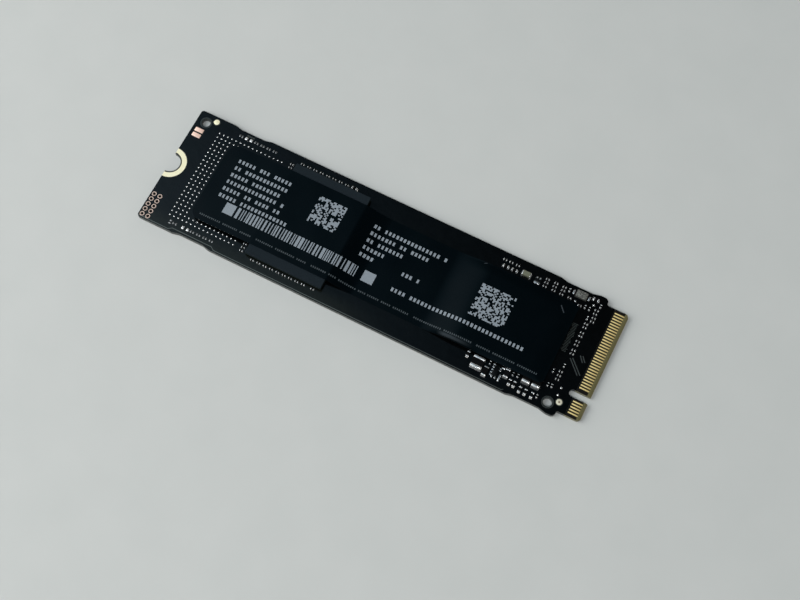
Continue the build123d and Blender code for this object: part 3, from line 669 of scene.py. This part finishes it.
# %% The film's height
flash_start, flash_end, climb_end = flash[0, 0], flash[1, 0], controller[0, 0]
fall_length, fall_power, climb_length, climb_lead = 5.0, 0.8, 6.6, 0.8
valley_top, control_top = board_top + film_thickness, controller[1, 2] + film_thickness
film_droop, edge_hang, print_lift, ripple_height = 0.38, 0.09, 0.005, 0.006
curl_x, curl_run, curl_width, curl_height = 16.0, 5.5, 0.9, 0.24
end_corner, tip_corner = 1.8, 0.9
far_margin, tip_stretch, stretch_run = 0.18, 0.3, 2
film_half = (film[1, 1] - film[0, 1]) / 2


def smooth(share):
    """0 to 1 with level ends: three squares less two cubes."""
    share = np.clip(share, 0, 1)
    return share ** 2 * (3 - 2 * share)


def film_height(x, y):
    """Height of the film's upper face: level on each package, smooth steps down to the board and
    up again, a straight droop at the free end, one edge that curls up where the film climbs
    unsupported, edges that hang beyond the controller, and two slanting waves as ripples."""
    fall = smooth(((x - flash_end) / fall_length).clip(0, 1) ** fall_power)
    climb = smooth((x - climb_end + climb_lead + climb_length) / climb_length)
    height = film_top - print_lift + (valley_top - film_top) * fall
    height = height + (control_top - valley_top) * climb
    height = height - film_droop * ((flash_start - x) / (flash_start - film[0, 0])).clip(0, 1)
    curl = smooth(1 - np.abs(x - curl_x) / curl_run) * (-y - film_half + curl_width).clip(0, 1) ** 2
    height = height + curl_height * curl
    side = ((np.abs(y) - controller[1, 1]) / (film_half - controller[1, 1])).clip(0, 1)
    past = ((x - controller[1, 0]) / (film[1, 0] - controller[1, 0])).clip(0, 1)
    hang = edge_hang * climb * np.maximum(side, past) ** 2
    waves = 2 - np.sin(0.9 * x + 0.5 * y) - np.sin(0.43 * x - 0.8 * y)
    return height - hang - ripple_height * waves * (1 - 0.5 * climb)


sides = np.array([flash_start, flash_end, climb_end])
print("film top at the packages' sides", film_height(sides, 0 * sides).round(3), "mm")

# %% The film's outline and surface
def film_reach(x):
    """Half the film's width at x: full, less the round corners' sagittas near both ends."""
    reach = film_half + 0 * x
    for corner, near in ((end_corner, x - film[0, 0]), (tip_corner, film[1, 0] - x)):
        reach = reach - corner + np.sqrt(corner ** 2 - (corner - near.clip(0, corner)) ** 2)
    return reach


station_gap = 0.2
corner_run = 1 - np.cos(np.linspace(0, np.pi / 2, 10))
end_run, tip_run = film[0, 0] + end_corner * corner_run, film[1, 0] - tip_corner * corner_run[::-1]
even_run = np.arange(end_run[-1] + station_gap, tip_run[0] - station_gap / 2, station_gap)
stations = np.concatenate([end_run, even_run, tip_run])
across = np.sin(np.linspace(-np.pi / 2, np.pi / 2, 61))
section_y = np.concatenate([across, [1.0], across[::-2], [-1.0]])
section_drop = np.concatenate([0 * across, [0.5], 0 * across[::2] + 1, [0.5]])
film_y = film_reach(stations)[:, None] * section_y + far_margin * (1 + section_y) / 2
near_tip = (stations[:, None] - film[1, 0] + stretch_run) / stretch_run
film_x = stations[:, None] + tip_stretch * smooth(near_tip) + 0 * film_y
film_z = film_height(film_x, film_y) - film_thickness * section_drop
film_points, film_faces = stacked(np.stack([film_x, film_y, film_z], -1)[None])
print("film of", len(stations), "stations and", len(film_points), "points")

# %% The film's finish
# Glossy and nearly black, with two scratches and a painted highlight along the edge that curls
long_scratch, short_scratch = ((29.45, 6.1), (30.25, 5.2)), ((15.2, 7.15), (15.6, 7.35))
thinner_by = 0.04
curl_highlight_y, curl_highlight_starts, curl_highlight_ends = -6.8, (13.2, 14.8), (15.6, 20.0)
coating = Finish("label_film", srgb("01070b"), 0.16, specular=0.2)
clear_film = coating.mix(coating.grain(6.0), srgb("010508"), srgb("02080b"))
off_short = coating.off_line(*short_scratch) + thinner_by
nearest = coating.math("MINIMUM", coating.off_line(*long_scratch), off_short)
scratch = 1 - coating.step(nearest + coating.grain(0.3) * 0.1, 0.06, 0.2)
# Painted highlight: a pale band along the near edge, where the film climbs and curls up
curl_highlight = 1 - coating.step(abs(coating.y - curl_highlight_y), 0.1, 0.45)
curl_highlight = curl_highlight * coating.step(coating.x, *curl_highlight_starts) * (1 - coating.step(coating.x, *curl_highlight_ends))
coating.feed("Base Color", coating.mix(scratch * 0.7 + curl_highlight * 0.6, clear_film, srgb("42494e")))
scuffs = coating.step(coating.grain(0.5, 6.0), 0.55, 0.75)
coating.feed("Roughness", coating.grain(2.5) * 0.08 + scuffs * 0.06 + scratch * 0.3 + 0.14)
coating.feed("Normal", coating.bump(coating.grain(0.5, 2.0), 0.0012))
piece("label_sheet", film_points, film_faces, coating, "label_film", ["label_film"])
print("film finished, with haze near y", curl_highlight_y)

# %% [markdown]
# ## Print on the label
#
# What was printed is left off. In its place are plain shapes of the same colour and weight:
# rows of small blocks where lines stood, a row of bars, and two square fields of scattered
# cells. Each mark is a thin closed slab of ink that follows the film's height.

# %% Slabs of ink
rng = np.random.default_rng(11)
cell_chance = 0.54


def marks(rectangles, height=film_height):
    """Thin slabs of ink: for each rectangle x0, x1, y0, y1 a section of four corners, half above
    the surface and half in it, is carried along x at the surface's height."""
    x0, x1, y0, y1 = np.array(rectangles, float).T[:, :, None, None]
    along = np.linspace(0, 1, 5)[:, None]
    across, upper = np.array([0, 1, 1, 0]), np.array([-1, -1, 1, 1])
    x, y = x0 + (x1 - x0) * along + 0 * across, y0 + (y1 - y0) * across + 0 * along
    return stacked(np.stack([x, y, height(x, y) + print_lift * upper], -1))


def block_line(start, end, level, height, pitch, words):
    """A row of plain blocks from start to end, one pitch apart, with a gap after each group of
    as many blocks as words says. A block takes up from 50 to 64 % of its pitch, by chance."""
    places = np.arange(start, end, pitch)
    gaps = np.cumsum(np.array(words) + 1) - 1
    kept = places[~np.isin(np.arange(len(places)), gaps)]
    wide = pitch * (0.5 + 0.14 * rng.random(len(kept)))
    return [(x, x + w, level - height / 2, level + height / 2) for x, w in zip(kept, wide)]


def cell_field(left, low, width, height, cells):
    """A square field of cells, about half of them filled by chance."""
    filled = np.argwhere(rng.random((cells, cells)) < cell_chance)
    step_x, step_y = width / cells, height / cells
    return [
        (left + i * step_x, left + (i + 1) * step_x, low + j * step_y, low + (j + 1) * step_y)
        for i, j in filled
    ]


def printed(name, middle, dark, light, grain_size, roughness, specular):
    """Matt ink in two close tones."""
    made = Finish(name, srgb(middle), roughness, specular=specular)
    tone = made.mix(made.grain(grain_size, 3.0), srgb(dark), srgb(light))
    return made.feed("Base Color", tone)


print("ink lies", print_lift, "mm above and below the surface")

# %% Lines, bars and fields
block_pitch, block_height, line_step, line_top = 0.68, 0.66, 1.36, 5.05
left_start, right_start = -29.45, -3.9
left_lines = (
    (-19.66, (5, 3, 5)), (-18.76, (2, 12)), (-19.66, (5, 8)),
    (-18.7, (14,)), (-18.65, (5, 2, 4)), (-16.57, (5, 13)),
)
right_lines = ((9.2, (2, 15)), (6.4, (7, 2, 5)), (3.3, (2, 7)), (-0.1, (7,)), (-1.5, (4,)))
bold = []
for start, lines in ((left_start, left_lines), (right_start, right_lines)):
    for row, (end, words) in enumerate(lines):
        bold += block_line(start, end, line_top - row * line_step, block_height, block_pitch, words)
bold += block_line(3.9, 6.8, -0.38, block_height, block_pitch, (3,))
bold += block_line(3.5, 27.5, -3.5, block_height, block_pitch, (4, 30))

bar_low, bar_high, bar_start, bar_end = -4.42, -2.45, -25.45, -1.95
bar_steps, bar_chances = [0.17, 0.26, 0.36, 0.5], [0.4, 0.3, 0.2, 0.1]
bold += [(-27.46, -25.6, bar_low, bar_high), (-1.75, 0.35, bar_low, bar_high)]
bar_edges = bar_start + np.cumsum(rng.choice(bar_steps, 200, p=bar_chances))
bar_edges = bar_edges[bar_edges < bar_end][:-1]
bars = bar_edges[:len(bar_edges) // 2 * 2].reshape(-1, 2)
bold += [(start, end, bar_low, bar_high) for start, end in bars]
bold += cell_field(-14.19, 0.56, 5.06, 4.97, 18) + cell_field(16.5, -1.94, 6.08, 5.82, 22)

fine_level, fine_height, fine_pitch = -6.2, 0.3, 0.36
fine_lines = (
    (-30.6, -20.9, (11, 8)), (-20.0, -10.7, (9, 10)), (-9.8, 0.0, (8, 4, 9)),
    (0.5, 8.0, (6, 5)), (8.9, 19.1, (14,)), (20.1, 30.6, (7, 11)),
)
fine = []
for start, end, words in fine_lines:
    fine += block_line(start, end, fine_level, fine_height, fine_pitch, words)

ink = printed("pale_ink", "868f98", "7d868e", "8e969d", 0.2, 0.45, 0.3)
grey_ink = printed("grey_ink", "3c4347", "373e42", "444b4f", 0.2, 0.45, 0.3)
for name, rectangles, finish in (("label_marks", bold, ink), ("label_fine_marks", fine, grey_ink)):
    piece(name, *marks(rectangles), finish, "label_film")
    print(name, len(rectangles), "marks")

# %% Marks on the board
column_left, column_right, ragged = 32.25, 33.35, 0.25
column = [
    (column_left + ragged * rng.random(), column_right - ragged * rng.random(), level, level + 0.1)
    for level in np.arange(-0.4, 4.7, 0.24)
]
tag = [(left, left + 0.25, 10.05, 10.35) for left in np.arange(-30.8, -29.4, 0.36)]
board_ink = printed("board_ink", "3a403e", "2a2f2d", "484e4c", 0.15, 0.5, 0.2)
board_marks = marks(column + tag, lambda x, y: board_top + 0 * x)
piece("board_marks", *board_marks, board_ink, "solder_mask")
print("board_marks", len(column + tag), "marks")

# %% [markdown]
# ## Circuit board
#
# The board is woven glass in epoxy under a black solder mask, which is satin and follows the
# copper below it: a plane that ends just inside the edge, drawn as a painted highlight along the
# near side, rings round the tooling holes and a few slanting traces. Bare laminate shows on the
# sawn walls, grey-brown along the card, dark with painted shade between the contacts and khaki on
# the bevelled tip. The finish tells these apart by place and height: the masked faces are the
# highest and the lowest level of the board.

# %% Masked, bare and sawn places of the board
level_skin, halo, weave_turns = 0.012, 0.66, 14.0
tongue_edge, tip_edge = (tip_x - 2.75, tip_x - 2.65), (tip_x - 0.72, tip_x - 0.6)
black_from = tip_x - 2.42
mask = Finish("solder_mask", srgb("020406"), 0.25, specular=0.5)
top_level, low_level = mask.z > board_top - level_skin, mask.z < level_skin
flat = mask.node("ShaderNodeNewGeometry", output="Normal")
upright = abs(mask.node("ShaderNodeSeparateXYZ", inputs={0: flat}, output="Z"))
masked = mask.math("MAXIMUM", top_level, low_level) * (upright > 0.7)
for spot in feet_of("fiducial_marks"):
    masked = masked * (mask.away(spot) > halo)
tongue, tip_zone = mask.step(mask.x, *tongue_edge), mask.step(mask.x, *tip_edge)
wave_x, wave_y = (mask.math("SINE", along * weave_turns) for along in (mask.x, mask.y))
weave = wave_x * wave_y * 0.5 + 0.5
sawn = mask.mix(mask.grain(0.25, 4.0), srgb("1a1d1b"), srgb("2c302d"))
khaki = mask.mix(weave * 0.4 + mask.grain(0.3, 4.0) * 0.6, srgb("5c5738"), srgb("706a49"))
# Painted shade: the laminate between the contacts is dark brown, and nearly black in the strip next
# to the mask's edge
between = mask.mix(mask.grain(0.2), srgb("090703"), srgb("150f07"))
between = mask.mix(mask.x > black_from, srgb("040403"), between)
level_face = mask.mix(tip_zone, between, khaki)
laminate = mask.mix(tongue, sawn, mask.mix(upright > 0.9, khaki, level_face))
print("bare laminate from about", tongue_edge[0].round(2), "mm to the tip")

# %% Copper under the mask
# The plane's edge is a painted highlight: a paler line along the near side, weaker towards the
# tip, which steps in at the recesses
tooling, collar_inner, collar_outer = [(-38.25, 9.15), (34.15, -9.25)], 0.78, 1.02
traces = [
    ((34.4, -1.0), (36.5, -3.1)), ((34.75, -0.8), (36.9, -2.9)),
    ((35.7, 0.1), (36.4, -0.8)), ((36.1, 0.2), (36.75, -0.6)),
]
trace_half, trace_foot = 0.05, 0.1
plane_edge, line_half, line_foot = board[1, 1] - 0.26, 0.03, 0.09
rim_start, rim_end, rim_fade = -24.0, 27.0, 0.3
recess_middles, recess_feet, recess_flat, recess_inset = (-29.9, 31.0), 4.4, 3.6, 0.42
recesses = sum(
    1 - mask.step(abs(mask.x - middle), recess_flat, recess_feet) for middle in recess_middles
)
border = abs(mask.y + plane_edge - recesses * recess_inset)
rim_highlight_fade = 1 - mask.step(mask.x, rim_start, rim_end) * rim_fade
rim_highlight = (1 - mask.step(border, line_half, line_foot)) * rim_highlight_fade * (mask.x < rim_end)
collars = sum(
    (mask.away(spot) > collar_inner) * (mask.away(spot) < collar_outer) for spot in tooling
)
raised = sum(1 - mask.step(mask.off_line(*trace), trace_half, trace_foot) for trace in traces)

# A strip along the near side has a painted sheen, from the notch's end to about the card's middle
strip_y, strip_x = (-10.6, -7.6), (-8.0, 8.0)
cloud_and_sheen = mask.mix(mask.grain(3.0, 4.0), srgb("000101"), srgb("020304"))
near_sheen_strip = (1 - mask.step(mask.y, *strip_y)) * (1 - mask.step(mask.x, *strip_x))
cloud_and_sheen = mask.mix(near_sheen_strip * (mask.grain(0.35, 4.0) * 0.9 + 0.35), cloud_and_sheen, srgb("171914"))
covered = mask.mix(rim_highlight + collars * 0.35 + raised * 0.5, cloud_and_sheen, srgb("525856"))
mask.feed("Base Color", mask.mix(masked, laminate, covered))
mask.feed("Roughness", masked * (mask.grain(1.2, 3.0) * 0.08 - 0.18) + 0.32)
pressed = mask.bump(mask.grain(0.16, 2.0), 0.003)
mask.feed("Normal", mask.bump(mask.grain(1.6, 2.0) + raised, 0.012, pressed))
print(len(traces), "traces,", len(tooling), "collars")

# %% Kept CAD pieces and their edges
contact_nodes = [name for name in nodes if name.startswith("edge_contacts")]
kept = {
    "circuit_board": mask, "screw_notch_lands": gold,
    "flash_substrate": substrate, "flash_mould": compound,
    "controller_substrate": substrate, "controller_mould": compound,
    **dict.fromkeys(contact_nodes, gold),
}
edged = {
    "circuit_board": 0.03, "flash_mould": 0.04, "controller_mould": 0.04,
    "flash_substrate": 0.02, "screw_notch_lands": 0.008, **dict.fromkeys(contact_nodes, 0.01),
}
merge_gap, edge_segments, edge_angle = 0.0001, 2, 35
for name, finish in kept.items():
    nodes[name].data.materials.clear()
    nodes[name].data.materials.append(finish.material)
for name, width in edged.items():
    join = nodes[name].modifiers.new("join", "WELD")
    join.merge_threshold = merge_gap * mm
    edge = nodes[name].modifiers.new("edge", "BEVEL")
    edge.width, edge.segments = width * mm, edge_segments
    edge.limit_method, edge.angle_limit = "ANGLE", radians(edge_angle)
print(len(kept), "kept CAD pieces finished,", len(edged), "with softened edges")
